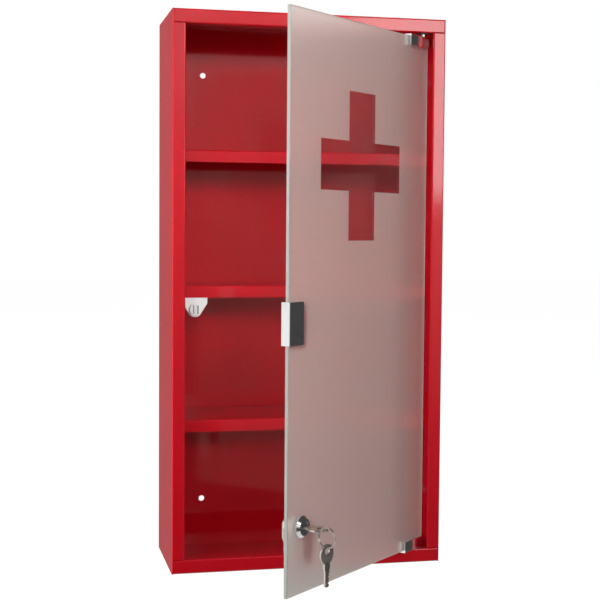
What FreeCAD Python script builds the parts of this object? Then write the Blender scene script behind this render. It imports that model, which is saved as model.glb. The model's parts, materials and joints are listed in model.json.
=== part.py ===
"""Wall medicine cabinet of folded sheet steel with a glass door, a cam lock and two keys.

The frame is +Z up with the front towards -Y. The origin is the middle of the four wall
holes, on the wall plane. The door and all that it carries are drawn with the door shut,
about the pivot line, and are stored turned open about that line.
"""
import FreeCAD, Part
import math
import os
import re

import Sketcher
from FreeCAD import Placement, Rotation, Vector

# Every driving size in millimetres, and the angles in degrees.
SIZES = {
    # Carcass
    "cabinet_width": 300.0,
    "cabinet_height": 600.0,
    "cabinet_depth": 125.0,
    "sheet_gauge": 1.0,
    "inside_bend": 0.6,
    "side_flange": 14.0,
    "end_flange": 15.0,
    "return_depth": 17.0,
    "back_flange": 15.0,
    "seam_gap": 0.3,
    "back_corner": 3.0,
    "screw_inset_across": 50.0,
    "screw_inset_up": 55.0,
    "screw_hole": 6.5,
    # Shelves
    "middle_shelf_height": 8.35,
    "shelf_pitch": 145.5,
    "shelf_lip": 12.75,
    "shelf_setback": 18.0,
    "shelf_tab": 10.0,
    "shelf_tab_inset": 12.0,
    # Door glass and its place in the opening
    "glass_thickness": 4.0,
    "glass_arris": 0.5,
    "hinge_side_gap": 2.0,
    "free_side_gap": 2.0,
    "top_gap": 6.2,
    "pivot_from_edge": 8.0,
    "pivot_depth": 7.0,
    "door_angle": 43.43,
    # Pivots
    "pin_diameter": 5.0,
    "pin_play": 0.05,
    "pin_chamfer": 0.6,
    "bush_wall": 1.6,
    "bush_rim": 2.0,
    "bush_tail": 3.0,
    "thrust_flange": 0.6,
    "thrust_play": 0.1,
    # Hinge clamps
    "clamp_length": 41.5,
    "clamp_inset": 0.5,
    "clamp_overlap": 10.0,
    "clamp_web": 2.0,
    "clamp_front_leg": 2.0,
    "clamp_back_leg": 2.5,
    "clamp_pad": 0.5,
    "clamp_round": 0.8,
    "clamp_screw_spacing": 22.0,
    "pad_margin": 0.4,
    "grub_diameter": 4.0,
    "grub_recess": 0.2,
    "socket_flats": 2.0,
    "socket_depth": 1.4,
    # Pull
    "pull_length": 23.0,
    "pull_height": 41.5,
    "pull_middle": -19.6,
    "pull_web": 1.2,
    "pull_front_leg": 1.5,
    "pull_front_pad": 0.5,
    "pull_back_leg": 2.9,
    "pull_back_pad": 1.0,
    "pull_corner": 2.0,
    "pull_round": 0.5,
    "pull_screw_spacing": 28.0,
    # Magnetic catch
    "catch_gauge": 1.0,
    "catch_width": 26.6,
    "catch_foot": 8.6,
    "catch_overlap": 8.0,
    "catch_shoulder": 6.4,
    "catch_tail": 8.3,
    "catch_round": 6.5,
    "catch_rise": 2.6,
    "catch_gap": 0.2,
    "cup_diameter": 13.0,
    "cup_round": 0.6,
    "magnet_width": 3.4,
    "magnet_height": 9.2,
    "magnet_depth": 4.0,
    "magnet_recess": 0.4,
    "pole_gauge": 1.4,
    "pole_proud": 0.2,
    "rivet_diameter": 3.0,
    "rivet_head": 6.0,
    "rivet_head_depth": 1.0,
    "rivet_bite": 1.2,
    # Lock
    "lock_from_edge": 23.6,
    "lock_from_end": 65.7,
    "rosette_diameter": 22.0,
    "rosette_depth": 4.0,
    "rosette_chamfer": 2.6,
    "barrel_diameter": 16.0,
    "barrel_play": 0.3,
    "barrel_length": 11.3,
    "front_washer": 0.5,
    "back_washer": 1.0,
    "washer_diameter": 20.0,
    "nut_flats": 19.0,
    "nut_depth": 4.0,
    "plug_diameter": 10.0,
    "plug_head": 12.0,
    "plug_head_depth": 1.6,
    "plug_recess": 0.3,
    "plug_play": 0.05,
    "cam_play": 0.2,
    "cam_gauge": 2.0,
    "cam_width": 14.0,
    "cam_reach": 30.0,
    "cam_straight": 12.0,
    "cam_slope": 4.0,
    "cam_crank": 2.0,
    "cam_hub_round": 6.5,
    "cam_tip_round": 5.0,
    "tenon_side": 6.0,
    "tenon_relief": 0.1,
    "cam_screw_diameter": 4.0,
    "cam_screw_length": 4.2,
    "cam_screw_head": 8.0,
    "cam_screw_head_depth": 2.0,
    "driver_slot": 1.0,
    "driver_slot_depth": 1.0,
    # Keys
    "key_gauge": 2.0,
    "key_play": 0.1,
    "key_bow": 20.0,
    "key_bow_round": 0.4,
    "key_hole": 7.4,
    "key_hole_from_end": 6.8,
    "key_neck_length": 5.2,
    "key_neck_width": 8.0,
    "blade_length": 16.6,
    "blade_width": 6.0,
    "blade_point": 1.5,
    "first_cut": 4.0,
    "cut_pitch": 3.0,
    "cut_root": 1.0,
    "cut_mouth": 2.4,
    "shallow_cut": 0.8,
    "deep_cut": 1.6,
    # Split ring
    "ring_outer": 20.8,
    "ring_wire": 1.1,
    "ring_turn_gap": 0.45,
    "ring_seat": 1.2,
    "ring_turn": 5.0,
    "spare_seat": 0.65,
}

# Places and fits that follow from the driving sizes.
LINES = {
    "half_width": "cabinet_width / 2",
    "half_height": "cabinet_height / 2",
    "outside_bend": "inside_bend + sheet_gauge",
    "opening_side": "half_width - side_flange",
    "opening_end": "half_height - end_flange",
    "screw_across": "half_width - screw_inset_across",
    "screw_up": "half_height - screw_inset_up",
    "shelf_front": "cabinet_depth - shelf_setback",
    "shelf_back": "2 * sheet_gauge + inside_bend",
    "pivot_across": "opening_side - hinge_side_gap - pivot_from_edge",
    "pivot_back": "cabinet_depth - pivot_depth",
    "glass_half": "glass_thickness / 2",
    "glass_free": "2 * opening_side - hinge_side_gap - free_side_gap - pivot_from_edge",
    "glass_top": "opening_end - top_gap",
    "glass_low": "opening_end - thrust_flange - thrust_play - clamp_web",
    "bush_bore": "pin_diameter / 2 + pin_play",
    "bush_side": "bush_bore + bush_wall",
    "bush_end": "opening_end + sheet_gauge + bush_tail",
    "clamp_inner": "glass_half + clamp_pad",
    "clamp_back": "clamp_inner + clamp_back_leg",
    "clamp_start": "pivot_from_edge - clamp_inset - clamp_length",
    "clamp_middle": "clamp_start + clamp_length / 2",
    "pull_free": "glass_free + pull_web",
    "pull_inner": "glass_free - pull_length",
    "pull_front_inner": "glass_half + pull_front_pad",
    "pull_front": "pull_front_inner + pull_front_leg",
    "pull_back_inner": "glass_half + pull_back_pad",
    "pull_back": "pull_back_inner + pull_back_leg",
    "pull_screw_line": "glass_free - pull_length / 2",
    "catch_across": "pivot_across - (pull_free + pull_inner) / 2",
    "catch_height": "pull_middle + catch_rise",
    "catch_front": "shelf_front - sheet_gauge",
    "pole_face": "pivot_back - pull_back - catch_gap",
    "cup_face": "pole_face - pole_proud",
    "magnet_floor": "cup_face - magnet_depth",
    "lock_across": "lock_from_edge - glass_free",
    "lock_height": "lock_from_end - glass_low",
    "rosette_back": "glass_half + front_washer",
    "rosette_front": "rosette_back + rosette_depth",
    "nut_front": "glass_half + back_washer",
    "barrel_end": "glass_half + barrel_length",
    "plug_front": "rosette_front - plug_recess",
    "plug_neck": "plug_front - plug_head_depth",
    "cam_front": "barrel_end + cam_play",
    "cam_back": "cam_front + cam_gauge",
    "tenon_end": "cam_back - tenon_relief",
    "cam_screw_end": "cam_back - cam_screw_length",
    "shoulder": "plug_front + key_play",
    "hole_from_shoulder": "key_neck_length + key_bow - key_hole_from_end",
    "bow_from_shoulder": "key_neck_length + key_bow / 2",
    "ring_middle": "(ring_outer - ring_wire) / 2",
    "ring_drop": "ring_middle - key_gauge / 2 - ring_wire / 2 - ring_seat",
    "ring_forward": "shoulder + hole_from_shoulder + sqrt(ring_middle ^ 2 - ring_drop ^ 2)",
    "spare_hang": "key_hole / 2 - ring_wire / 2 - spare_seat",
}

doc = FreeCAD.newDocument("medicine_cabinet")
sheet = doc.addObject("Spreadsheet::Sheet", "Sizes")
for row, (size_name, size_value) in enumerate(SIZES.items(), 1):
    sheet.set(f"A{row}", size_name)
    sheet.set(f"B{row}", str(size_value))
    sheet.setAlias(f"B{row}", size_name)
doc.recompute()

pieces = []


def bound(text):
    """Return an expression on the sheet's cells, with each line written out."""
    def word(match):
        name = match.group()
        if name in LINES:
            return f"({bound(LINES[name])})"
        return f"Sizes.{name}" if name in SIZES else name
    return re.sub(r"[a-z_]+", word, text)


def new_body(label):
    """Start a piece as a body of its own."""
    body = doc.addObject("PartDesign::Body", label)
    body.Label = label
    pieces.append(body)
    return body


def drawn(body, plane, loops=(), circles=(), shift=("0", "0", "0")):
    """Draw closed outlines and circles on one of the body's origin planes.

    shift moves the drawing along its own X, its own Y and the plane's normal.
    """
    sketch = body.newObject("Sketcher::SketchObject", f"{body.Label}_sketch")
    support = next(item for item in body.Origin.OriginFeatures if item.Role == plane)
    sketch.AttachmentSupport = (support, [""])
    sketch.MapMode = "FlatFace"
    for axis, text in zip("xyz", shift):
        sketch.setExpression(f"AttachmentOffset.Base.{axis}", bound(text))
    for corners in loops:
        first = sketch.GeometryCount
        count = len(corners)
        turn = 2 * math.pi / count
        start = [Vector(math.cos(turn * k), math.sin(turn * k), 0) for k in range(count)]
        for k in range(count):
            sketch.addGeometry(Part.LineSegment(start[k], start[(k + 1) % count]), False)
        for k in range(count):
            follows = first + (k + 1) % count
            sketch.addConstraint(Sketcher.Constraint("Coincident", first + k, 2, follows, 1))
        for k, (across, up) in enumerate(corners):
            place_point(sketch, first + k, 1, start[k], across, up)
    for across, up, diameter in circles:
        index = sketch.addGeometry(Part.Circle(Vector(1, 1, 0), Vector(0, 0, 1), 1), False)
        place_point(sketch, index, 3, Vector(1, 1, 0), across, up)
        width = sketch.addConstraint(Sketcher.Constraint("Diameter", index, 2.0))
        sketch.setExpression(f"Constraints[{width}]", bound(diameter))
    doc.recompute()
    return sketch


def place_point(sketch, index, end, start, across, up):
    """Tie a point of the drawing to its two distances from the drawing's origin."""
    for kind, text, value in (("DistanceX", across, start.x), ("DistanceY", up, start.y)):
        tie = sketch.addConstraint(Sketcher.Constraint(kind, -1, 1, index, end, value))
        sketch.setExpression(f"Constraints[{tie}]", bound(text))


def padded(body, sketch, length, middle=False, backward=False):
    """Raise a drawing into a solid."""
    pad = body.newObject("PartDesign::Pad", f"{body.Label}_pad")
    pad.Profile = sketch
    if middle:
        pad.SideType = "Symmetric"
    pad.Reversed = backward
    pad.setExpression("Length", bound(length))
    doc.recompute()
    return pad


def pocketed(body, sketch, length, backward=False):
    """Cut a drawing out of the solid, and see that it cut something."""
    before = body.Shape.Volume
    pocket = body.newObject("PartDesign::Pocket", f"{body.Label}_pocket")
    pocket.Profile = sketch
    pocket.Reversed = backward
    pocket.setExpression("Length", bound(length))
    doc.recompute()
    if body.Shape.Volume > before - 0.01:
        raise ValueError(f"{body.Label}: a pocket cuts nothing")
    return pocket


def revolved(body, sketch, axis):
    """Turn a drawing about one of its own axes."""
    turned = body.newObject("PartDesign::Revolution", f"{body.Label}_turned")
    turned.Profile = sketch
    turned.ReferenceAxis = (sketch, [axis])
    turned.Angle = 360
    doc.recompute()
    return turned


def dressed(body, kind, field, size, wanted):
    """Fillet or chamfer the edges of the body's last feature that are wanted."""
    base = body.Tip
    names = [f"Edge{k}" for k, edge in enumerate(base.Shape.Edges, 1) if wanted(edge)]
    if not names:
        raise ValueError(f"{body.Label}: no edge to dress")
    feature = body.newObject(f"PartDesign::{kind}", f"{body.Label}_{kind.lower()}")
    feature.Base = (base, names)
    feature.setExpression(field, bound(size))
    doc.recompute()
    return feature


def filleted(body, size, wanted):
    """Round the wanted edges."""
    return dressed(body, "Fillet", "Radius", size, wanted)


def chamfered(body, size, wanted):
    """Bevel the wanted edges."""
    return dressed(body, "Chamfer", "Size", size, wanted)


def runs_along(edge, direction):
    """Whether an edge is straight along a direction."""
    if edge.Curve.TypeId != "Part::GeomLine":
        return False
    return abs(abs(edge.Curve.Direction.dot(direction)) - 1) < 1e-6


def corner_test(sketch, indices):
    """Return a test for the edges that rise from these corners of a drawing."""
    turn = sketch.Placement.Rotation
    normal = turn.multVec(Vector(0, 0, 1))
    corners = [sketch.Placement.multVec(sketch.getPoint(k, 1)) for k in indices]

    def wanted(edge):
        if not runs_along(edge, normal):
            return False
        offsets = [edge.Vertexes[0].Point - corner for corner in corners]
        return any((away - normal * away.dot(normal)).Length < 1e-4 for away in offsets)
    return wanted


def circle_test(height_axis, height, radius):
    """Return a test for round edges of one radius at one height along an axis."""
    def wanted(edge):
        if edge.Curve.TypeId != "Part::GeomCircle":
            return False
        off = abs(edge.Curve.Center.dot(height_axis) - height)
        return off < 1e-4 and abs(edge.Curve.Radius - radius) < 1e-4
    return wanted


def box(left, right, low, high):
    """Corners of a rectangle."""
    return [(left, low), (right, low), (right, high), (left, high)]


def hexagon(across, up, flats):
    """Corners of a hexagon with two flats level."""
    half = f"({flats}) / 2"
    point = f"({flats}) / sqrt(3)"
    return [
        (f"{across} + {point}", up),
        (f"{across} + {point} / 2", f"{up} + {half}"),
        (f"{across} - {point} / 2", f"{up} + {half}"),
        (f"{across} - {point}", up),
        (f"{across} - {point} / 2", f"{up} - {half}"),
        (f"{across} + {point} / 2", f"{up} - {half}"),
    ]


def on_door(piece):
    """Stand a piece that is drawn about the pivot line in its place on the open door."""
    piece.Placement = Placement(Vector(), Rotation(Vector(0, 0, 1), 1.0))
    piece.setExpression("Placement.Base.x", bound("pivot_across"))
    piece.setExpression("Placement.Base.y", bound("-pivot_back"))
    piece.setExpression("Placement.Rotation.Angle", bound("door_angle * 1 deg"))
    return piece


def on_ring(piece, height):
    """Stand a piece on the key ring's upright line, turned with the ring."""
    piece.Placement = Placement(Vector(), Rotation(Vector(0, 0, 1), 1.0))
    across = "pivot_across + lock_across * cos(door_angle) + ring_forward * sin(door_angle)"
    along = "lock_across * sin(door_angle) - ring_forward * cos(door_angle) - pivot_back"
    piece.setExpression("Placement.Base.x", bound(across))
    piece.setExpression("Placement.Base.y", bound(along))
    piece.setExpression("Placement.Base.z", bound(height))
    piece.setExpression("Placement.Rotation.Angle", bound("(door_angle - ring_turn) * 1 deg"))
    return piece


def folds(outer, flange):
    """Corners of a sheet folded to a front flange with a return, and to a back flange.

    Each corner is its distance out from the cabinet's middle and its place in depth.
    """
    inner = f"{outer} - {flange}"
    return [
        (f"{outer} - back_flange", "-sheet_gauge"),
        (outer, "-sheet_gauge"),
        (outer, "-cabinet_depth"),
        (inner, "-cabinet_depth"),
        (inner, "return_depth - cabinet_depth"),
        (f"{inner} + sheet_gauge", "return_depth - cabinet_depth"),
        (f"{inner} + sheet_gauge", "sheet_gauge - cabinet_depth"),
        (f"{outer} - sheet_gauge", "sheet_gauge - cabinet_depth"),
        (f"{outer} - sheet_gauge", "-2 * sheet_gauge"),
        (f"{outer} - back_flange", "-2 * sheet_gauge"),
    ]


def bent(body, sketch, outer=range(1, 4), inner=range(6, 9)):
    """Round the folds of a sheet at these corners of its drawing, outside and inside."""
    filleted(body, "outside_bend", corner_test(sketch, outer))
    filleted(body, "inside_bend", corner_test(sketch, inner))


def side_panel(label, side):
    """A side of the carcass, with its flanges cut back at the corners."""
    body = new_body(label)
    corners = [(f"{side} * ({out})", deep) for out, deep in folds("half_width", "side_flange")]
    sketch = drawn(body, "XY_Plane", [corners])
    padded(body, sketch, "cabinet_height", middle=True)
    bent(body, sketch)
    bend = f"{side} * (half_width - outside_bend)"
    past = "half_height + sheet_gauge"
    inner = f"{side} * (opening_side - sheet_gauge)"
    low = "opening_end - seam_gap"
    notch = [box(inner, bend, low, past), box(inner, bend, f"-({low})", f"-({past})")]
    cut = drawn(body, "XZ_Plane", notch, shift=("0", "0", "cabinet_depth"))
    pocketed(body, cut, "return_depth + sheet_gauge")
    inner = f"{side} * (half_width - back_flange - sheet_gauge)"
    low = "half_height - back_flange - seam_gap"
    notch = [box(inner, bend, low, past), box(inner, bend, f"-({low})", f"-({past})")]
    cut = drawn(body, "XZ_Plane", notch, shift=("0", "0", "3 * sheet_gauge"))
    pocketed(body, cut, "3 * sheet_gauge")


def end_panel(label, side, inside):
    """The top or bottom of the carcass, with the hole for its pivot bush."""
    body = new_body(label)
    corners = [(deep, f"{side} * ({out})") for out, deep in folds("half_height", "end_flange")]
    sketch = drawn(body, "YZ_Plane", [corners])
    padded(body, sketch, "cabinet_width - 2 * (outside_bend + seam_gap)", middle=True)
    bent(body, sketch)
    reach = "half_width - sheet_gauge"
    front = "outside_bend - cabinet_depth"
    back = "-sheet_gauge - outside_bend"
    plate = box(f"-({reach})", reach, front, back)
    level = f"{side} * half_height - {inside}"
    padded(body, drawn(body, "XY_Plane", [plate], shift=("0", "0", level)), "sheet_gauge")
    bush = ("pivot_across", "-pivot_back", "2 * bush_side")
    above = f"{side} * opening_end + {inside} + sheet_gauge"
    cut = drawn(body, "XY_Plane", circles=[bush], shift=("0", "0", above))
    pocketed(body, cut, "3 * sheet_gauge")


def back_panel():
    """The flat back with its four wall holes."""
    body = new_body("back_panel")
    wide = "half_width - outside_bend"
    high = "half_height - outside_bend"
    sketch = drawn(body, "XZ_Plane", [box(f"-({wide})", wide, f"-({high})", high)])
    padded(body, sketch, "sheet_gauge")
    filleted(body, "back_corner", corner_test(sketch, range(4)))
    holes = [
        (f"{left} * (screw_across)", f"{low} * (screw_up)", "screw_hole")
        for left in (-1, 1)
        for low in (-1, 1)
    ]
    cut = drawn(body, "XZ_Plane", circles=holes, shift=("0", "0", "sheet_gauge"))
    pocketed(body, cut, "2 * sheet_gauge")


def shelf(label, top):
    """A shelf with a front lip and a tab folded down along each side."""
    body = new_body(label)
    under = f"{top} - sheet_gauge"
    lip = f"{top} - shelf_lip"
    corners = [
        ("-shelf_front", top),
        ("-shelf_back", top),
        ("-shelf_back", under),
        ("sheet_gauge - shelf_front", under),
        ("sheet_gauge - shelf_front", lip),
        ("-shelf_front", lip),
    ]
    sketch = drawn(body, "YZ_Plane", [corners])
    padded(body, sketch, "cabinet_width - 2 * sheet_gauge", middle=True)
    bent(body, sketch, range(1), range(3, 4))
    outer = "half_width - sheet_gauge"
    inner = "half_width - 2 * sheet_gauge"
    low = f"{top} - shelf_tab"
    tabs = [box(inner, outer, low, under), box(f"-({outer})", f"-({inner})", low, under)]
    sketch = drawn(body, "XZ_Plane", tabs, shift=("0", "0", "shelf_back + shelf_tab_inset"))
    padded(body, sketch, "shelf_front - sheet_gauge - shelf_back - shelf_tab_inset")


def pivot_bush(label, side):
    """A flanged bush in a return; its flange carries the door at the bottom."""
    body = new_body(label)
    rim = "bush_side + bush_rim"
    face = f"{side} * (opening_end - thrust_flange)"
    seat = f"{side} * opening_end"
    end = f"{side} * bush_end"
    corners = [
        ("bush_bore", face),
        (rim, face),
        (rim, seat),
        ("bush_side", seat),
        ("bush_side", end),
        ("bush_bore", end),
    ]
    sketch = drawn(body, "XZ_Plane", [corners], shift=("pivot_across", "0", "pivot_back"))
    revolved(body, sketch, "V_Axis")


def catch():
    """The magnetic catch that hangs behind the middle shelf's lip."""
    body = new_body("catch_plate")
    top = "middle_shelf_height - shelf_lip + catch_overlap"
    shoulder = "catch_height + catch_shoulder"
    low = "catch_height - catch_tail"
    half = "catch_width / 2"
    foot = "catch_foot / 2"
    corners = [
        (f"catch_across - {half}", top),
        (f"catch_across - {half}", shoulder),
        (f"catch_across - {foot}", low),
        (f"catch_across + {foot}", low),
        (f"catch_across + {half}", shoulder),
        (f"catch_across + {half}", top),
    ]
    sketch = drawn(body, "XZ_Plane", [corners], shift=("0", "0", "catch_front - catch_gauge"))
    padded(body, sketch, "catch_gauge")
    filleted(body, "catch_round", corner_test(sketch, (2, 3)))
    centre = ("catch_across", "catch_height")
    rivet = (*centre, "rivet_diameter")
    cut = drawn(body, "XZ_Plane", circles=[rivet], shift=("0", "0", "catch_front"))
    pocketed(body, cut, "2 * catch_gauge")

    body = new_body("catch_cup")
    disc = (*centre, "cup_diameter")
    sketch = drawn(body, "XZ_Plane", circles=[disc], shift=("0", "0", "catch_front"))
    padded(body, sketch, "cup_face - catch_front")
    out = Vector(0, -1, 0)
    far = body.Shape.BoundBox.YMin
    filleted(body, "cup_round", circle_test(out, -far, sheet.get("cup_diameter") / 2))
    wide = "(magnet_width / 2 + pole_gauge)"
    tall = "magnet_height / 2"
    slot = box(
        f"catch_across - {wide}",
        f"catch_across + {wide}",
        f"catch_height - {tall}",
        f"catch_height + {tall}",
    )
    cut = drawn(body, "XZ_Plane", [slot], shift=("0", "0", "cup_face"))
    pocketed(body, cut, "magnet_depth")
    cut = drawn(body, "XZ_Plane", circles=[rivet], shift=("0", "0", "catch_front"))
    pocketed(body, cut, "rivet_bite", backward=True)

    body = new_body("catch_magnet")
    bar = box(
        "catch_across - magnet_width / 2",
        "catch_across + magnet_width / 2",
        f"catch_height - {tall}",
        f"catch_height + {tall}",
    )
    sketch = drawn(body, "XZ_Plane", [bar], shift=("0", "0", "magnet_floor"))
    padded(body, sketch, "magnet_depth - magnet_recess")

    body = new_body("catch_pole_plates")
    poles = [
        box(
            f"catch_across + {side} * magnet_width / 2",
            f"catch_across + {side} * {wide}",
            f"catch_height - {tall}",
            f"catch_height + {tall}",
        )
        for side in (-1, 1)
    ]
    sketch = drawn(body, "XZ_Plane", poles, shift=("0", "0", "magnet_floor"))
    padded(body, sketch, "magnet_depth + pole_proud")

    body = new_body("catch_rivet")
    plate_back = "catch_front - catch_gauge"
    sketch = drawn(body, "XZ_Plane", circles=[rivet], shift=("0", "0", plate_back))
    padded(body, sketch, "catch_gauge + rivet_bite")
    head = (*centre, "rivet_head")
    sketch = drawn(body, "XZ_Plane", circles=[head], shift=("0", "0", plate_back))
    padded(body, sketch, "rivet_head_depth", backward=True)


def glass_pane():
    """The door glass, with bevelled arrises and the hole for the lock."""
    body = on_door(new_body("glass_pane"))
    pane = box("-glass_free", "pivot_from_edge", "-glass_low", "glass_top")
    sketch = drawn(body, "XZ_Plane", [pane], shift=("0", "0", "-glass_half"))
    padded(body, sketch, "glass_thickness")
    depth = Vector(0, 1, 0)
    chamfered(body, "glass_arris", lambda edge: not runs_along(edge, depth))
    hole = ("lock_across", "lock_height", "barrel_diameter + 2 * barrel_play")
    cut = drawn(body, "XZ_Plane", circles=[hole], shift=("0", "0", "glass_half"))
    pocketed(body, cut, "glass_thickness")


def grub_screws(label, spots, inner, leg):
    """Grub screws that fill the threads in a back leg, each with a hexagon socket."""
    body = on_door(new_body(label))
    circles = [(across, up, "grub_diameter") for across, up in spots]
    sketch = drawn(body, "XZ_Plane", circles=circles, shift=("0", "0", f"-({inner})"))
    padded(body, sketch, f"{leg} - grub_recess", backward=True)
    sockets = [hexagon(across, up, "socket_flats") for across, up in spots]
    outer = f"-({inner} + {leg} - grub_recess)"
    cut = drawn(body, "XZ_Plane", sockets, shift=("0", "0", outer))
    pocketed(body, cut, "socket_depth", backward=True)


def threaded(body, spots, inner, leg):
    """Cut the threads for the grub screws through a back leg."""
    circles = [(across, up, "grub_diameter") for across, up in spots]
    cut = drawn(body, "XZ_Plane", circles=circles, shift=("0", "0", f"-({inner})"))
    pocketed(body, cut, leg)


def hinge_clamp(end, side, edge):
    """A clamp over the glass at one pivot, with its pads, grub screws and pin."""
    body = on_door(new_body(f"{end}_clamp"))
    front = "clamp_inner + clamp_front_leg"
    web = f"{side} * ({edge} + clamp_web)"
    seat = f"{side} * {edge}"
    leg = f"{side} * ({edge} - clamp_overlap)"
    corners = [
        (f"-({front})", web),
        ("clamp_back", web),
        ("clamp_back", leg),
        ("clamp_inner", leg),
        ("clamp_inner", seat),
        ("-clamp_inner", seat),
        ("-clamp_inner", leg),
        (f"-({front})", leg),
    ]
    sketch = drawn(body, "YZ_Plane", [corners], shift=("0", "0", "clamp_start"))
    padded(body, sketch, "clamp_length")
    filleted(body, "clamp_round", corner_test(sketch, (0, 1, 2, 7)))
    pin = [("0", "0", "pin_diameter")]
    high = f"{side} * ({edge} + clamp_web / 2) + clamp_web / 2"
    cut = drawn(body, "XY_Plane", circles=pin, shift=("0", "0", high))
    pocketed(body, cut, "clamp_web")
    middle = f"{side} * ({edge} - clamp_overlap / 2)"
    spots = [
        ("clamp_middle - clamp_screw_spacing / 2", middle),
        ("clamp_middle + clamp_screw_spacing / 2", middle),
    ]
    threaded(body, spots, "clamp_inner", "clamp_back_leg")

    body = on_door(new_body(f"{end}_clamp_pads"))
    low = f"{side} * ({edge} - clamp_overlap + pad_margin)"
    pads = [
        box("-clamp_inner", "-glass_half", low, seat),
        box("glass_half", "clamp_inner", low, seat),
    ]
    sketch = drawn(body, "YZ_Plane", pads, shift=("0", "0", "clamp_start + pad_margin"))
    padded(body, sketch, "clamp_length - 2 * pad_margin")

    grub_screws(f"{end}_clamp_screws", spots, "clamp_inner", "clamp_back_leg")

    body = on_door(new_body(f"{end}_pivot_pin"))
    sketch = drawn(body, "XY_Plane", circles=pin, shift=("0", "0", seat))
    padded(body, sketch, f"bush_end - {edge}", backward=side < 0)
    tip = (body.Shape.BoundBox.ZMax if side > 0 else -body.Shape.BoundBox.ZMin) * side
    rim = circle_test(Vector(0, 0, 1), tip, sheet.get("pin_diameter") / 2)
    chamfered(body, "pin_chamfer", rim)


def door_pull():
    """The pull clamped over the glass's free edge, with its pads and grub screws."""
    body = on_door(new_body("door_pull"))
    corners = [
        ("-pull_free", "-pull_front"),
        ("-pull_inner", "-pull_front"),
        ("-pull_inner", "-pull_front_inner"),
        ("-glass_free", "-pull_front_inner"),
        ("-glass_free", "pull_back_inner"),
        ("-pull_inner", "pull_back_inner"),
        ("-pull_inner", "pull_back"),
        ("-pull_free", "pull_back"),
    ]
    sketch = drawn(body, "XY_Plane", [corners], shift=("0", "0", "pull_middle"))
    pad = padded(body, sketch, "pull_height", middle=True)
    inner = pad.Shape.BoundBox.XMax
    depth = Vector(0, 1, 0)

    def at_inner_corner(edge):
        return runs_along(edge, depth) and abs(edge.Vertexes[0].X - inner) < 1e-4

    filleted(body, "pull_corner", at_inner_corner)
    filleted(body, "pull_round", corner_test(sketch, (0, 7)))
    half = "pull_screw_spacing / 2"
    spots = [
        ("-pull_screw_line", f"pull_middle - {half}"),
        ("-pull_screw_line", f"pull_middle + {half}"),
    ]
    threaded(body, spots, "pull_back_inner", "pull_back_leg")

    body = on_door(new_body("pull_pads"))
    end = "-pull_inner - pad_margin"
    pads = [
        box("-glass_free", end, "-pull_front_inner", "-glass_half"),
        box("-glass_free", end, "glass_half", "pull_back_inner"),
    ]
    sketch = drawn(body, "XY_Plane", pads, shift=("0", "0", "pull_middle"))
    padded(body, sketch, "pull_height - 2 * pad_margin", middle=True)

    grub_screws("pull_screws", spots, "pull_back_inner", "pull_back_leg")


LOCK_LINE = ("0", "lock_height", "lock_across")
LOCK_SPOT = ("lock_across", "lock_height")


def turned_on_lock(label, corners):
    """A piece turned about the lock's axis; corners are depth from the glass and radius."""
    body = on_door(new_body(label))
    revolved(body, drawn(body, "YZ_Plane", [corners], shift=LOCK_LINE), "H_Axis")
    return body


def lock_case():
    """The barrel with its rosette, the two washers and the nut behind the glass."""
    rosette = "rosette_diameter / 2"
    barrel = "barrel_diameter / 2"
    bore = "(plug_diameter / 2 + plug_play)"
    head = "(plug_head / 2 + plug_play)"
    turned_on_lock("lock_barrel", [
        ("-rosette_front", head),
        ("-rosette_front", f"{rosette} - rosette_chamfer"),
        ("rosette_chamfer - rosette_front", rosette),
        ("-rosette_back", rosette),
        ("-rosette_back", barrel),
        ("barrel_end", barrel),
        ("barrel_end", bore),
        ("plug_play - plug_neck", bore),
        ("plug_play - plug_neck", head),
    ])
    ring = (f"{barrel} + barrel_play", "washer_diameter / 2")
    turned_on_lock("lock_front_washer", box("-rosette_back", "-glass_half", *ring))
    turned_on_lock("lock_back_washer", box("glass_half", "nut_front", *ring))
    body = on_door(new_body("lock_nut"))
    outline = hexagon(*LOCK_SPOT, "nut_flats")
    thread = [(*LOCK_SPOT, "barrel_diameter")]
    sketch = drawn(body, "XZ_Plane", [outline], thread, shift=("0", "0", "-nut_front"))
    padded(body, sketch, "nut_depth", backward=True)


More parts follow.
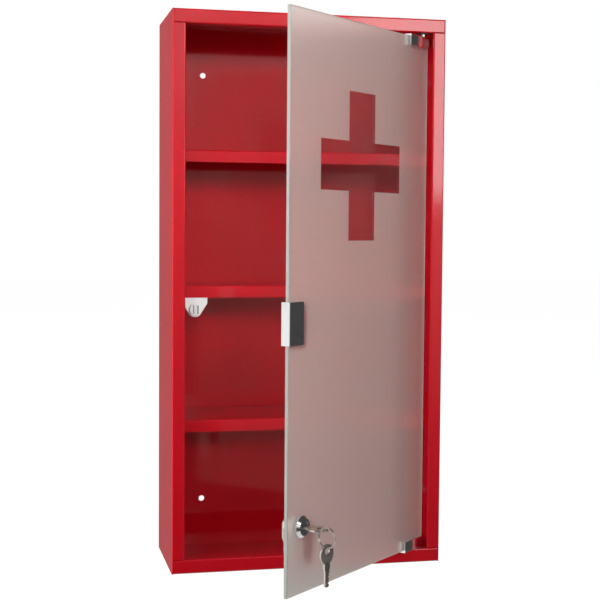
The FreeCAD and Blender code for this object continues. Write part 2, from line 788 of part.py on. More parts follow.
def lock_works():
    """The plug, the cam on its tenon and the screw that holds the cam."""
    plug = "plug_diameter / 2"
    head = "plug_head / 2"
    body = turned_on_lock("lock_plug", [
        ("-plug_front", "0"),
        ("-plug_front", head),
        ("-plug_neck", head),
        ("-plug_neck", plug),
        ("cam_front", plug),
        ("cam_front", "0"),
    ])
    half = "tenon_side / 2"
    tenon = box(
        f"lock_across - {half}",
        f"lock_across + {half}",
        f"lock_height - {half}",
        f"lock_height + {half}",
    )
    sketch = drawn(body, "XZ_Plane", [tenon], shift=("0", "0", "-cam_front"))
    padded(body, sketch, "cam_gauge - tenon_relief", backward=True)
    wide = "(blade_width / 2 + key_play)"
    tall = "(key_gauge / 2 + key_play)"
    keyway = box(
        f"lock_across - {wide}",
        f"lock_across + {wide}",
        f"lock_height - {tall}",
        f"lock_height + {tall}",
    )
    cut = drawn(body, "XZ_Plane", [keyway], shift=("0", "0", "plug_front"))
    pocketed(body, cut, "blade_length + 2 * key_play")
    screw = [(*LOCK_SPOT, "cam_screw_diameter")]
    cut = drawn(body, "XZ_Plane", circles=screw, shift=("0", "0", "-cam_screw_end"))
    pocketed(body, cut, "tenon_end - cam_screw_end")

    body = on_door(new_body("lock_cam"))
    hub = "cam_width / 2"
    bend = "cam_straight + cam_slope"
    corners = [
        ("cam_front", hub),
        ("cam_back", hub),
        ("cam_back", "-cam_straight"),
        ("cam_back - cam_crank", f"-({bend})"),
        ("cam_back - cam_crank", "-cam_reach"),
        ("cam_front - cam_crank", "-cam_reach"),
        ("cam_front - cam_crank", f"-({bend})"),
        ("cam_front", "-cam_straight"),
    ]
    sketch = drawn(body, "YZ_Plane", [corners], shift=LOCK_LINE)
    pad = padded(body, sketch, "cam_width", middle=True)
    limits = pad.Shape.BoundBox
    depth = Vector(0, 1, 0)

    def at_height(height):
        return lambda edge: runs_along(edge, depth) and abs(edge.Vertexes[0].Z - height) < 1e-4

    filleted(body, "cam_hub_round", at_height(limits.ZMax))
    filleted(body, "cam_tip_round", at_height(limits.ZMin))
    cut = drawn(body, "XZ_Plane", [tenon], shift=("0", "0", "-cam_front"))
    pocketed(body, cut, "cam_gauge")

    shank = "cam_screw_diameter / 2"
    cap = "cam_screw_head / 2"
    top = "cam_back + cam_screw_head_depth"
    body = turned_on_lock("cam_screw", [
        ("cam_screw_end", "0"),
        ("cam_screw_end", shank),
        ("cam_back", shank),
        ("cam_back", cap),
        (top, cap),
        (top, "0"),
    ])
    reach = "cam_screw_head"
    slot = box(
        f"lock_across - {reach}",
        f"lock_across + {reach}",
        "lock_height - driver_slot / 2",
        "lock_height + driver_slot / 2",
    )
    cut = drawn(body, "XZ_Plane", [slot], shift=("0", "0", f"driver_slot_depth - ({top})"))
    pocketed(body, cut, "driver_slot_depth")


def blade_cut(centre, depth):
    """Corners of one cut in the blade's edge."""
    root = f"blade_width / 2 - {depth}"
    return [
        ("blade_width / 2", f"{centre} - cut_mouth / 2"),
        (root, f"{centre} - cut_root / 2"),
        (root, f"{centre} + cut_root / 2"),
        ("blade_width / 2", f"{centre} + cut_mouth / 2"),
    ]


def key_body(body, plane, way, shift):
    """A flat key drawn from its shoulder: blade one way, bow the other."""
    cuts = []
    for count, depth in enumerate(("shallow_cut", "deep_cut", "shallow_cut", "deep_cut")):
        cuts += blade_cut(f"first_cut + {count} * cut_pitch", depth)
    outline = [
        ("-key_neck_width / 2", "-bow_from_shoulder"),
        ("key_neck_width / 2", "-bow_from_shoulder"),
        ("key_neck_width / 2", "0"),
        ("blade_width / 2", "0"),
        *cuts,
        ("blade_width / 2", "blade_length - blade_point"),
        ("blade_width / 2 - blade_point", "blade_length"),
        ("blade_point - blade_width / 2", "blade_length"),
        ("-blade_width / 2", "blade_length - blade_point"),
        ("-blade_width / 2", "0"),
        ("-key_neck_width / 2", "0"),
    ]
    loop = [(across, f"{way} * ({along})") for across, along in outline]
    padded(body, drawn(body, plane, [loop], shift=shift), "key_gauge", middle=True)
    bow = [("0", f"{way} * -bow_from_shoulder", "key_bow")]
    pad = padded(body, drawn(body, plane, circles=bow, shift=shift), "key_gauge", middle=True)
    radius = sheet.get("key_bow") / 2

    def on_bow(edge):
        round_edge = edge.Curve.TypeId == "Part::GeomCircle"
        return round_edge and abs(edge.Curve.Radius - radius) < 1e-4

    filleted(body, "key_bow_round", on_bow)
    hole = [("0", f"{way} * -hole_from_shoulder", "key_hole")]
    face = (*shift[:2], f"{shift[2]} + key_gauge / 2")
    pocketed(body, drawn(body, plane, circles=hole, shift=face), "key_gauge")
    return pad


def keys():
    """The key in the lock, and the spare key that hangs from the ring."""
    body = on_door(new_body("key"))
    key_body(body, "XY_Plane", 1, ("lock_across", "-shoulder", "lock_height"))
    low = "lock_height - ring_drop - ring_middle"
    body = on_ring(new_body("spare_key"), low)
    key_body(body, "XZ_Plane", -1, ("0", "-hole_from_shoulder - spare_hang", "0"))


def arc_along(start, heading, end):
    """The arc that leaves one point along a heading and ends at another."""
    chord = end - start
    inward = chord - heading * chord.dot(heading)
    inward.normalize()
    radius = chord.dot(chord) / (2 * chord.dot(inward))
    half = math.asin(min(1.0, chord.Length / (2 * radius)))
    centre = start + inward * radius
    middle = centre - inward * (radius * math.cos(half)) + heading * (radius * math.sin(half))
    return Part.Arc(start, middle, end).toShape()


def biarc(start, leave, end, arrive):
    """Two arcs that join two points along their headings."""
    chord = end - start
    both = leave + arrive
    square = both.dot(both) - 4
    linear = -2 * chord.dot(both)
    constant = chord.dot(chord)
    spread = math.sqrt(linear * linear - 4 * square * constant)
    roots = [(spread - linear) / (2 * square), (-spread - linear) / (2 * square)]
    reach = min(root for root in roots if root > 0)
    first = start + leave * reach
    second = end - arrive * reach
    joint = (first + second) * 0.5
    heading = second - first
    heading.normalize()
    return [arc_along(start, leave, joint), arc_along(joint, heading, end)]


def key_ring():
    """The split ring: one wire wound twice, stepping across in the quarter that it shares."""
    wire = sheet.get("ring_wire")
    radius = (sheet.get("ring_outer") - wire) / 2
    step = wire + sheet.get("ring_turn_gap")
    first_quarter = 2.5
    stations = []
    for count in range(8):
        angle = (first_quarter + count) * math.pi / 2
        layer = -step / 2 if count < 4 else step / 2
        point = Vector(layer, radius * math.cos(angle), radius * math.sin(angle))
        stations.append((point, Vector(0, -math.sin(angle), math.cos(angle))))
    edges = []
    for (start, leave), (end, arrive) in zip(stations, stations[1:]):
        edges += biarc(start, leave, end, arrive)
    path = Part.Wire(edges)
    section = Part.Wire([Part.Circle(*stations[0], wire / 2).toShape()])
    shell = Part.BRepOffsetAPI.MakePipeShell(path)
    shell.add(section)
    shell.build()
    shell.makeSolid()
    ring = doc.addObject("Part::Feature", "key_ring")
    ring.Label = "key_ring"
    ring.Shape = shell.shape()
    pieces.append(on_ring(ring, "lock_height - ring_drop"))
    points = [point for edge in path.Edges for point in edge.discretize(24)]
    runs = [0.0]
    for here, there in zip(points, points[1:]):
        runs.append(runs[-1] + (there - here).Length)
    apart = 3 * math.pi * wire
    least = min(
        (points[j] - points[i]).Length - wire
        for i in range(len(points))
        for j in range(i + 1, len(points))
        if runs[j] - runs[i] > apart
    )
    full = math.pi * wire * wire / 4 * path.Length
    print(f"key_ring least gap to itself {least:.3f}, volume ratio {ring.Shape.Volume / full:.4f}")


def main():
    """Make every piece, test it and write it."""
    side_panel("left_side_panel", -1)
    side_panel("right_side_panel", 1)
    end_panel("top_panel", 1, "sheet_gauge")
    end_panel("bottom_panel", -1, "0")
    back_panel()
    shelf("shelf_upper", "middle_shelf_height + shelf_pitch")
    shelf("shelf_middle", "middle_shelf_height")
    shelf("shelf_lower", "middle_shelf_height - shelf_pitch")
    pivot_bush("top_pivot_bush", 1)
    pivot_bush("bottom_pivot_bush", -1)
    catch()
    glass_pane()
    hinge_clamp("top", 1, "glass_top")
    hinge_clamp("bottom", -1, "glass_low")
    door_pull()
    lock_case()
    lock_works()
    keys()
    key_ring()
    doc.recompute()
    for item in doc.Objects:
        if "Invalid" in item.State or "Error" in item.State:
            raise ValueError(f"{item.Label}: {item.State}")
    os.makedirs("parts", exist_ok=True)
    for piece in pieces:
        if piece.Shape.isNull() or not piece.Shape.isValid():
            raise ValueError(f"{piece.Label}: bad shape")
    for piece in pieces:
        piece.Shape.exportStep(f"parts/{piece.Label}.step")
        solids = len(piece.Shape.Solids)
        print(f"{piece.Label}: {solids} solid(s), {piece.Shape.Volume:.1f} mm3")


main()
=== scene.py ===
import json
import logging
import math
from dataclasses import dataclass
from enum import Enum
from typing import Any, Mapping, Optional, Sequence, Union

import bpy
import numpy as np
from mathutils import Matrix, Vector


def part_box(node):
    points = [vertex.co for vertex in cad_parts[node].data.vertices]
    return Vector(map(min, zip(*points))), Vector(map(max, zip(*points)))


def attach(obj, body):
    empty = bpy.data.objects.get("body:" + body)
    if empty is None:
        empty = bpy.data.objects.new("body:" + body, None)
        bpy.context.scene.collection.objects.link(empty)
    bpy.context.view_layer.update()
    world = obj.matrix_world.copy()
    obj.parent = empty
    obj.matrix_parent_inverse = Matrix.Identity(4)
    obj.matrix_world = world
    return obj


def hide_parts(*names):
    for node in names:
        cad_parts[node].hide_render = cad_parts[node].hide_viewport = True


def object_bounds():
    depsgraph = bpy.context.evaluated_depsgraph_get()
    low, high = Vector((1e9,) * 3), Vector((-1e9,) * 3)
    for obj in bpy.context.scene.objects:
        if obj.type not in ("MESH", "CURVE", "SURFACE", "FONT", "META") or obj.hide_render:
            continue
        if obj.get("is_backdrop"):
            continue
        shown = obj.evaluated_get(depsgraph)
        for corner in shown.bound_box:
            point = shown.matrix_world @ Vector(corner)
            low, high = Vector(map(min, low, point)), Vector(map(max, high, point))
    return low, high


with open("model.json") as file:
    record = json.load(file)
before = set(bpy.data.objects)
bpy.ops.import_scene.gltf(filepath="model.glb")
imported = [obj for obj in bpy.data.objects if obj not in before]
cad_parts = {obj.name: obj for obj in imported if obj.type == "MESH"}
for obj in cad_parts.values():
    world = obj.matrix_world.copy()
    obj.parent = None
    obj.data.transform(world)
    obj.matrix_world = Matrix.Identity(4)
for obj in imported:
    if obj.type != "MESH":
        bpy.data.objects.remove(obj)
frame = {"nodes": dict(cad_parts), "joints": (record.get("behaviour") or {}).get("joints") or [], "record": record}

LOG = logging.getLogger("medicine_cabinet")
Colour = tuple[float, float, float, float]
Point = tuple[float, float, float]
Span = tuple[float, float]
Socket = bpy.types.NodeSocket
WHITE: Colour = (1, 1, 1, 1)
PAINT_IOR = 1.5
GLASS_IOR = 1.45
SOFT_STEP: Span = (0.3, 0.7)


class Slot(Enum):
    """The finishes that the record names."""

    RED_PAINT = "red_paint"
    WHITE_PAINT = "white_paint"
    WHITE_PLASTIC = "white_plastic"
    FROSTED_GLASS = "frosted_glass"
    CHROME = "chrome"
    PLATED_STEEL = "plated_steel"
    PALE_MAGNET = "pale_magnet"
    GREY_STEEL = "grey_steel"
    CLEAR_PAD = "clear_pad"
    BLACK_PLASTIC = "black_plastic"
    BLACK_WASHER = "black_washer"


class Shade:
    """A number that varies over a surface: arithmetic on it adds Math nodes."""

    def __init__(self, graph: "Graph", socket: Socket) -> None:
        """Hold an output socket and the graph that it belongs to."""
        self.graph = graph
        self.socket = socket

    def _math(self, operation: str, *values: Union["Shade", float]) -> "Shade":
        """Add one Math node.

        Args:
            operation: the Math node's operation.
            values: what its inputs get, in order.

        Returns:
            The node's result.
        """
        node = self.graph.node("ShaderNodeMath", {"operation": operation}, dict(enumerate(values)))
        return Shade(self.graph, node.outputs[0])

    def __add__(self, other: Union["Shade", float]) -> "Shade":
        """Sum."""
        return self._math("ADD", self, other)

    def __radd__(self, other: float) -> "Shade":
        """Sum with a number on the left."""
        return self._math("ADD", other, self)

    def __sub__(self, other: Union["Shade", float]) -> "Shade":
        """Difference."""
        return self._math("SUBTRACT", self, other)

    def __rsub__(self, other: float) -> "Shade":
        """Difference from a number on the left."""
        return self._math("SUBTRACT", other, self)

    def __mul__(self, other: Union["Shade", float]) -> "Shade":
        """Product."""
        return self._math("MULTIPLY", self, other)

    def __rmul__(self, other: float) -> "Shade":
        """Product with a number on the left."""
        return self._math("MULTIPLY", other, self)

    def __abs__(self) -> "Shade":
        """Size without sign."""
        return self._math("ABSOLUTE", self)

    def larger(self, other: Union["Shade", float]) -> "Shade":
        """The larger of two values."""
        return self._math("MAXIMUM", self, other)

    def smaller(self, other: Union["Shade", float]) -> "Shade":
        """The smaller of two values."""
        return self._math("MINIMUM", self, other)

    def rise(self, low: float, high: float) -> "Shade":
        """A smooth step.

        Args:
            low: where the step starts, at 0.
            high: where it ends, at 1.

        Returns:
            The step's height.
        """
        node = self.graph.node(
            "ShaderNodeMapRange",
            {"interpolation_type": "SMOOTHSTEP"},
            {"Value": self, "From Min": low, "From Max": high},
        )
        return Shade(self.graph, node.outputs[0])


class Graph:
    """The node tree of one material or of the world."""

    def __init__(self, tree: bpy.types.NodeTree) -> None:
        """Start from an empty tree."""
        self.tree = tree
        tree.nodes.clear()

    def node(
        self,
        kind: str,
        settings: Optional[Mapping[str, object]] = None,
        sockets: Optional[Mapping[Union[str, int], object]] = None,
    ) -> bpy.types.Node:
        """Add one node.

        Args:
            kind: the node's type.
            settings: its own choices, which are set first.
            sockets: by name or place, a value or the link that each input gets.

        Returns:
            The new node.
        """
        made = self.tree.nodes.new(kind)
        for name, value in (settings or {}).items():
            setattr(made, name, value)
        for key, value in (sockets or {}).items():
            if isinstance(value, Shade):
                value = value.socket
            if isinstance(value, Socket):
                self.tree.links.new(value, made.inputs[key])
            else:
                made.inputs[key].default_value = value
        return made

    def place(self) -> Socket:
        """The point of the surface, in the object's own metres."""
        return self.node("ShaderNodeTexCoord").outputs["Object"]

    def along(
        self,
        direction: Sequence[float],
        start: Sequence[float] = (0, 0, 0),
        point: Optional[Socket] = None,
    ) -> Shade:
        """Distance along a direction.

        Args:
            direction: unit vector.
            start: the point that the distance is measured from.
            point: the point that is measured, or none for the surface's own.

        Returns:
            The distance in metres.
        """
        away = self.node(
            "ShaderNodeVectorMath", {"operation": "SUBTRACT"}, {0: point or self.place(), 1: start}
        )
        dot = self.node(
            "ShaderNodeVectorMath",
            {"operation": "DOT_PRODUCT"},
            {0: away.outputs[0], 1: direction},
        )
        return Shade(self, dot.outputs["Value"])

    def noise(
        self,
        size: float,
        detail: float = 2.0,
        stretch: Sequence[float] = (1, 1, 1),
    ) -> Shade:
        """Soft noise.

        Args:
            size: how large its features are, in metres.
            detail: how many finer octaves it has.
            stretch: how much longer the features are along each axis.

        Returns:
            The noise, from 0 to 1.
        """
        scale = tuple(1 / (size * s) for s in stretch)
        mapped = self.node("ShaderNodeMapping", None, {"Vector": self.place(), "Scale": scale})
        node = self.node(
            "ShaderNodeTexNoise",
            None,
            {"Vector": mapped.outputs[0], "Scale": 1.0, "Detail": detail},
        )
        return Shade(self, node.outputs[0])

    def blend(self, share: Shade, first: object, second: object) -> Socket:
        """Mix two colours.

        Args:
            share: how much of the second shows.
            first: a colour, or a link to one.
            second: a colour, or a link to one.

        Returns:
            The mixed colour.
        """
        node = self.node("ShaderNodeMix", {"data_type": "RGBA"}, {0: share, 6: first, 7: second})
        return node.outputs[2]

    def bump(self, height: Shade, depth: float) -> Socket:
        """Turn a height into a normal.

        Args:
            height: the height, from 0 to 1.
            depth: what 1 stands for, in metres.

        Returns:
            The bent normal.
        """
        node = self.node("ShaderNodeBump", None, {"Distance": depth, "Height": height})
        return node.outputs[0]

    def surface(self, **sockets: object) -> Socket:
        """Add the shader of a solid surface.

        Args:
            sockets: its inputs, with _ for the spaces in their names.

        Returns:
            The shader.
        """
        named = {key.replace("_", " "): value for key, value in sockets.items()}
        return self.node("ShaderNodeBsdfPrincipled", None, named).outputs[0]

    def mixed(self, share: Union[Shade, float], first: Socket, second: Socket) -> Socket:
        """Mix two shaders.

        Args:
            share: how much of the second shows.
            first: a shader.
            second: a shader.

        Returns:
            The mixed shader.
        """
        return self.node("ShaderNodeMixShader", None, {0: share, 1: first, 2: second}).outputs[0]

    def rays(self, *kinds: str) -> Shade:
        """1 on rays of any of these kinds.

        Args:
            kinds: what the rays are, as in "Camera".

        Returns:
            The test.
        """
        path = self.node("ShaderNodeLightPath")
        tests = [Shade(self, path.outputs[f"Is {kind} Ray"]) for kind in kinds]
        found = tests[0]
        for test in tests[1:]:
            found = found.larger(test)
        return found


@dataclass(frozen=True)
class Finish:
    """A finish of the object, or of the floor under it."""

    name: str

    def material(self) -> bpy.types.Material:
        """Make the material."""
        made = bpy.data.materials.new(self.name)
        made.use_nodes = True
        graph = Graph(made.node_tree)
        shader = self.shader(graph)
        graph.node("ShaderNodeOutputMaterial", None, {"Surface": shader})
        return made

    def shader(self, graph: Graph) -> Socket:
        """Add the finish's nodes and return its shader."""
        raise NotImplementedError


@dataclass(frozen=True)
class Enamel(Finish):
    """Glossy sprayed and baked paint, with orange peel and a little dust under the gloss."""

    colour: Colour
    shadow: Colour
    dust: Colour
    roughness: float = 0.05
    uneven: float = 0.03
    peel_size: float = 0.0042
    peel_depth: float = 1.5e-5
    grain_size: float = 0.0007
    grain_height: float = 0.04
    cloud_size: float = 0.09
    speck_size: float = 0.0021
    speck_step: Span = (0.72, 0.8)
    speck_share: float = 0.05

    def shader(self, graph: Graph) -> Socket:
        """Two tones in clouds, dust specks, and a wavy gloss."""
        cloud = graph.noise(self.cloud_size, 3)
        grain = graph.noise(self.grain_size, 2)
        peel = graph.noise(self.peel_size, 1)
        specks = graph.noise(self.speck_size, 0).rise(*self.speck_step)
        tone = graph.blend(cloud.rise(*SOFT_STEP), self.shadow, self.colour)
        return graph.surface(
            Base_Color=graph.blend(specks * self.speck_share, tone, self.dust),
            Roughness=self.roughness + (cloud + grain + specks) * self.uneven,
            Normal=graph.bump(peel + grain * self.grain_height, self.peel_depth),
            IOR=PAINT_IOR,
        )


@dataclass(frozen=True)
class FrostedGlass(Finish):
    """Etched glass with a clear cross, polished behind and ground along its edges."""

    pivot: Point
    angle: float
    cross_middle: Span = (0.1295, 0.1338)
    cross_reach: Span = (0.0770, 0.0750)
    arm_half: Span = (0.0252, 0.0250)
    half_thickness: float = 0.002
    face_depths: Span = (3e-4, 1e-4)
    edge_blur: float = 0.00012
    milk: Colour = (0.94, 0.885, 0.83, 1)
    milk_dim: Colour = (0.85, 0.795, 0.735, 1)
    clear: Colour = (0.97, 0.985, 0.98, 1)
    edge: Colour = (0.46, 0.45, 0.42, 1)
    edge_green: Colour = (0.39, 0.43, 0.39, 1)
    light_passed: Colour = (0.88, 0.88, 0.87, 1)
    scattered: float = 0.25
    haze: float = 0.44
    haze_uneven: float = 0.1
    haze_passed: float = 0.97
    coat: float = 0.6
    coat_roughness: float = 0.12
    polish: float = 0.015
    polish_uneven: float = 0.02
    edge_roughness: float = 0.3
    edge_uneven: float = 0.2
    edge_passed: float = 0.35
    grain_size: float = 0.0024
    cloud_size: float = 0.05
    cloud_share: float = 0.4
    etch_size: float = 0.0006
    etch_depth: float = 2.0e-5

    def within(self, distance: Shade, half: float) -> Shade:
        """1 where a distance is less than a half width, with a thin soft edge."""
        return 1 - distance.rise(half - self.edge_blur, half + self.edge_blur)

    def cross(self, from_hinge: Shade, height: Shade) -> Shade:
        """The clear figure.

        It is two crossed bars on the door's own axes, so it needs no picture.

        Args:
            from_hinge: level distance from the hinge along the pane.
            height: height over the cabinet's middle.

        Returns:
            1 inside the cross.
        """
        across = abs(from_hinge - self.cross_middle[0])
        up = abs(height - self.cross_middle[1])
        upright = self.within(across, self.arm_half[0]).smaller(
            self.within(up, self.cross_reach[1])
        )
        level = self.within(across, self.cross_reach[0]).smaller(self.within(up, self.arm_half[1]))
        return upright.larger(level)

    def shader(self, graph: Graph) -> Socket:
        """Etched outside the cross on the front face, clear elsewhere, and open to lamps.

        The pane's axes are turned by the door's angle at rest, as the frame is built there.
        """
        turn = math.radians(self.angle)
        from_hinge = graph.along((-math.cos(turn), -math.sin(turn), 0), self.pivot)
        forward = graph.along((math.sin(turn), -math.cos(turn), 0), self.pivot)
        step = [self.half_thickness - depth for depth in self.face_depths]
        front, face = forward.rise(*step), abs(forward).rise(*step)
        frost = front * (1 - self.cross(from_hinge, graph.along((0, 0, 1))))
        etch = graph.noise(self.etch_size, 2)
        grain = graph.noise(self.grain_size, 2)
        cloud = graph.noise(self.cloud_size, 2)
        pale = cloud * self.cloud_share + grain.rise(*SOFT_STEP) * (1 - self.cloud_share)
        hazy = graph.surface(
            Base_Color=graph.blend(pale, self.milk_dim, self.milk),
            Roughness=self.haze + etch * self.haze_uneven,
            Transmission_Weight=self.haze_passed,
            IOR=GLASS_IOR,
            Coat_Weight=self.coat,
            Coat_Roughness=self.coat_roughness,
            Normal=graph.bump(etch, self.etch_depth),
        )
        backlit = graph.node("ShaderNodeBsdfTranslucent", None, {"Color": self.milk})
        etched = graph.mixed(self.scattered, hazy, backlit.outputs[0])
        polished = graph.surface(
            Base_Color=self.clear,
            Roughness=self.polish + cloud * self.polish_uneven,
            Transmission_Weight=1.0,
            IOR=GLASS_IOR,
        )
        ground = graph.surface(
            Base_Color=graph.blend(etch, self.edge_green, self.edge),
            Roughness=self.edge_roughness + etch * self.edge_uneven,
            Transmission_Weight=self.edge_passed,
            IOR=GLASS_IOR,
        )
        plain = graph.mixed(face, ground, polished)
        seen = graph.mixed(frost, plain, etched)
        lit = graph.node("ShaderNodeBsdfTransparent", None, {"Color": self.light_passed})
        return graph.mixed(graph.rays("Shadow", "Diffuse"), seen, lit.outputs[0])


@dataclass(frozen=True)
class BrightMetal(Finish):
    """Plated metal, from mirror chrome to dull nickel, with hairlines, smudges and tarnish."""

    colour: Colour
    tarnish: Colour
    roughness: float
    smudge: float
    hairline_depth: float
    tarnish_size: float = 0.012
    tarnish_step: Span = (0.45, 0.8)
    smudge_size: float = 0.02
    smudge_step: Span = (0.35, 0.75)
    hairline_size: float = 0.00035
    hairline_stretch: Point = (1, 1, 40)
    hairline_share: float = 0.6

    def shader(self, graph: Graph) -> Socket:
        """Metal whose gloss is broken by smudges and by fine lines that run upwards."""
        smudges = graph.noise(self.smudge_size, 3).rise(*self.smudge_step)
        spots = graph.noise(self.tarnish_size, 4).rise(*self.tarnish_step)
        lines = graph.noise(self.hairline_size, 2, self.hairline_stretch)
        blur = smudges * self.smudge + lines * self.smudge * self.hairline_share
        return graph.surface(
            Base_Color=graph.blend(spots, self.colour, self.tarnish),
            Metallic=1.0,
            Roughness=self.roughness + blur,
            Normal=graph.bump(lines, self.hairline_depth),
        )


@dataclass(frozen=True)
class Moulded(Finish):
    """Moulded plastic, rubber or sintered stuff with a fine skin."""

    colour: Colour
    shadow: Colour
    roughness: float
    skin_size: float
    skin_depth: float
    clear: float = 0.0
    skin_uneven: float = 0.1
    cloud_ratio: float = 12.0
    cloud_uneven: float = 0.08

    def shader(self, graph: Graph) -> Socket:
        """Two close tones, a fine skin, and some light let through where it is clear."""
        cloud = graph.noise(self.skin_size * self.cloud_ratio, 3)
        skin = graph.noise(self.skin_size, 3)
        return graph.surface(
            Base_Color=graph.blend(cloud.rise(*SOFT_STEP), self.shadow, self.colour),
            Roughness=self.roughness + cloud * self.cloud_uneven + skin * self.skin_uneven,
            Transmission_Weight=self.clear,
            Normal=graph.bump(skin, self.skin_depth),
        )


@dataclass(frozen=True)
class PaleFloor(Finish):
    """The studio floor: pale to the eye, with a little of the object's shade on it."""

    colour: Colour = (0.45, 0.45, 0.45, 1)
    cloudy: Colour = (0.43, 0.43, 0.43, 1)
    cloud_size: float = 0.4
    roughness: float = 0.9
    glow: float = 0.8
    strength: float = 1.2

    def shader(self, graph: Graph) -> Socket:
        """A matt floor that glows where it is seen, so that its shade shows only a little."""
        cloud = graph.noise(self.cloud_size, 2)
        matt = graph.surface(
            Base_Color=graph.blend(cloud, self.cloudy, self.colour),
            Roughness=self.roughness,
        )
        white = graph.node("ShaderNodeEmission", None, {"Color": WHITE, "Strength": self.strength})
        return graph.mixed(graph.rays("Camera") * self.glow, matt, white.outputs[0])


@dataclass
class Assembly:
    """Pieces of the frame that belong together, each dressed in the record's slot for it."""

    nodes: tuple[str, ...] = ()

    def dress(self, slots: Mapping[str, Slot], paints: Mapping[Slot, bpy.types.Material]) -> None:
        """Give each piece its finish.

        Args:
            slots: each piece's slot.
            paints: each slot's material.
        """
        for name in self.nodes:
            piece = frame["nodes"][name]
            wear(piece, paints[slots[name]])
            LOG.info("%s in %s", name, slots[name].value)


def joint(name: str) -> Mapping[str, Any]:
    """The frame's joint of this name."""
    return next(row for row in frame["joints"] if row["name"] == name)


def wear(piece: bpy.types.Object, material: bpy.types.Material) -> None:
    """Put one material on a whole piece."""
    piece.data.materials.clear()
    piece.data.materials.append(material)


@dataclass
class Carcass(Assembly):
    """The folded sheet box with its shelves and the bushes that the door turns in."""

    nodes: tuple[str, ...] = (
        "left_side_panel",
        "right_side_panel",
        "top_panel",
        "bottom_panel",
        "back_panel",
        "shelf_upper",
        "shelf_middle",
        "shelf_lower",
        "top_pivot_bush",
        "bottom_pivot_bush",
    )


@dataclass
class MagneticCatch(Assembly):
    """The catch under the middle shelf."""

    nodes: tuple[str, ...] = (
        "catch_plate",
        "catch_cup",
        "catch_magnet",
        "catch_pole_plates",
        "catch_rivet",
    )


@dataclass
class GlassDoor(Assembly):
    """The pane with its hinge clamps and its pull."""

    nodes: tuple[str, ...] = (
        "glass_pane",
        "top_clamp",
        "top_clamp_pads",
        "top_clamp_screws",
        "top_pivot_pin",
        "bottom_clamp",
        "bottom_clamp_pads",
        "bottom_clamp_screws",
        "bottom_pivot_pin",
        "door_pull",
        "pull_pads",
        "pull_screws",
    )


@dataclass
class CamLock(Assembly):
    """The lock through the glass."""

    nodes: tuple[str, ...] = (
        "lock_barrel",
        "lock_front_washer",
        "lock_back_washer",
        "lock_nut",
        "lock_plug",
        "lock_cam",
        "cam_screw",
    )


@dataclass
class KeyBunch(Assembly):
    """The two keys and the split ring that joins them."""

    nodes: tuple[str, ...] = ("key", "spare_key")
    ring_outer: float = 0.0208
    wire: float = 0.0011
    turn_gap: float = 0.00045
    first_quarter: float = 2.5
    quarters: int = 7
    shift_quarter: int = 3
    steps: int = 420
    sides: int = 20
    end_steps: int = 6
    tip_share: float = 1e-4

    def ring_line(self, middle: np.ndarray, forward: np.ndarray) -> tuple[np.ndarray, ...]:
        """The wire's middle line and the two directions across it.

        The wire goes round for three quarters, steps sideways by its own width in the
        fourth, and goes round for three quarters more:
        P(t) = middle + R (cos t * back + sin t * up) + shift(t) * sideways.

        Args:
            middle: the ring's centre.
            forward: level unit vector from the lock, in the ring's plane.

        Returns:
            The points, the outward directions and the sideways directions, one row each.
        """
        up = np.array((0.0, 0.0, 1.0))
        back = -forward
        sideways = np.cross(back, up)
        radius = (self.ring_outer - self.wire) / 2
        quarter = np.linspace(0, self.quarters, self.steps)
        angle = (self.first_quarter + quarter) * math.pi / 2
        part = np.clip(quarter - self.shift_quarter, 0, 1)
        shift = (self.wire + self.turn_gap) * (part * part * (3 - 2 * part) - 0.5)
        outward = np.cos(angle)[:, None] * back + np.sin(angle)[:, None] * up
        points = middle + radius * outward + shift[:, None] * sideways
        return points, outward, np.broadcast_to(sideways, points.shape)

    def build_ring(self) -> bpy.types.Object:
        """The split ring: a round wire along its line, with domed ends.

        At the ends the section shrinks as sqrt(1 - d^2) while the line runs on by d wire
        radii, which closes each end with half a ball.

        Returns:
            The ring, in place.
        """
        swing = joint("ring_swing")
        low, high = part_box("key_ring")
        middle = np.array(swing["pos_m"])
        middle[2] = (low.z + high.z) / 2
        points, outward, sideways = self.ring_line(middle, np.array(swing["axis"]))
        radius = self.wire / 2
        dome = np.sin(np.linspace(0, math.pi / 2, self.end_steps + 1))[1:]
        first = points[0] - points[1]
        last = points[-1] - points[-2]
        first, last = first / np.linalg.norm(first), last / np.linalg.norm(last)
        shrink = np.sqrt(np.clip(1 - dome**2, self.tip_share, 1))
        line = np.concatenate(
            (
                points[0] + radius * dome[::-1, None] * first,
                points,
                points[-1] + radius * dome[:, None] * last,
            )
        )
        size = radius * np.concatenate((shrink[::-1], np.ones(len(points)), shrink))
        pad = [(self.end_steps, self.end_steps), (0, 0)]
        outward = np.pad(outward, pad, mode="edge")
        sideways = np.pad(sideways, pad, mode="edge")
        turn = np.linspace(0, 2 * math.pi, self.sides, endpoint=False)
        rim = (
            np.cos(turn)[None, :, None] * outward[:, None, :]
            + np.sin(turn)[None, :, None] * sideways[:, None, :]
        )
        return tube("split_ring", line[:, None, :] + size[:, None, None] * rim)

    def dress(self, slots: Mapping[str, Slot], paints: Mapping[Slot, bpy.types.Material]) -> None:
        """Finish the keys, and stand the wound ring in for its frame piece."""
        super().dress(slots, paints)
        ring = self.build_ring()
        wear(ring, paints[slots["key_ring"]])
        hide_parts("key_ring")
        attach(ring, "key_ring")
        LOG.info("split_ring in %s", slots["key_ring"].value)


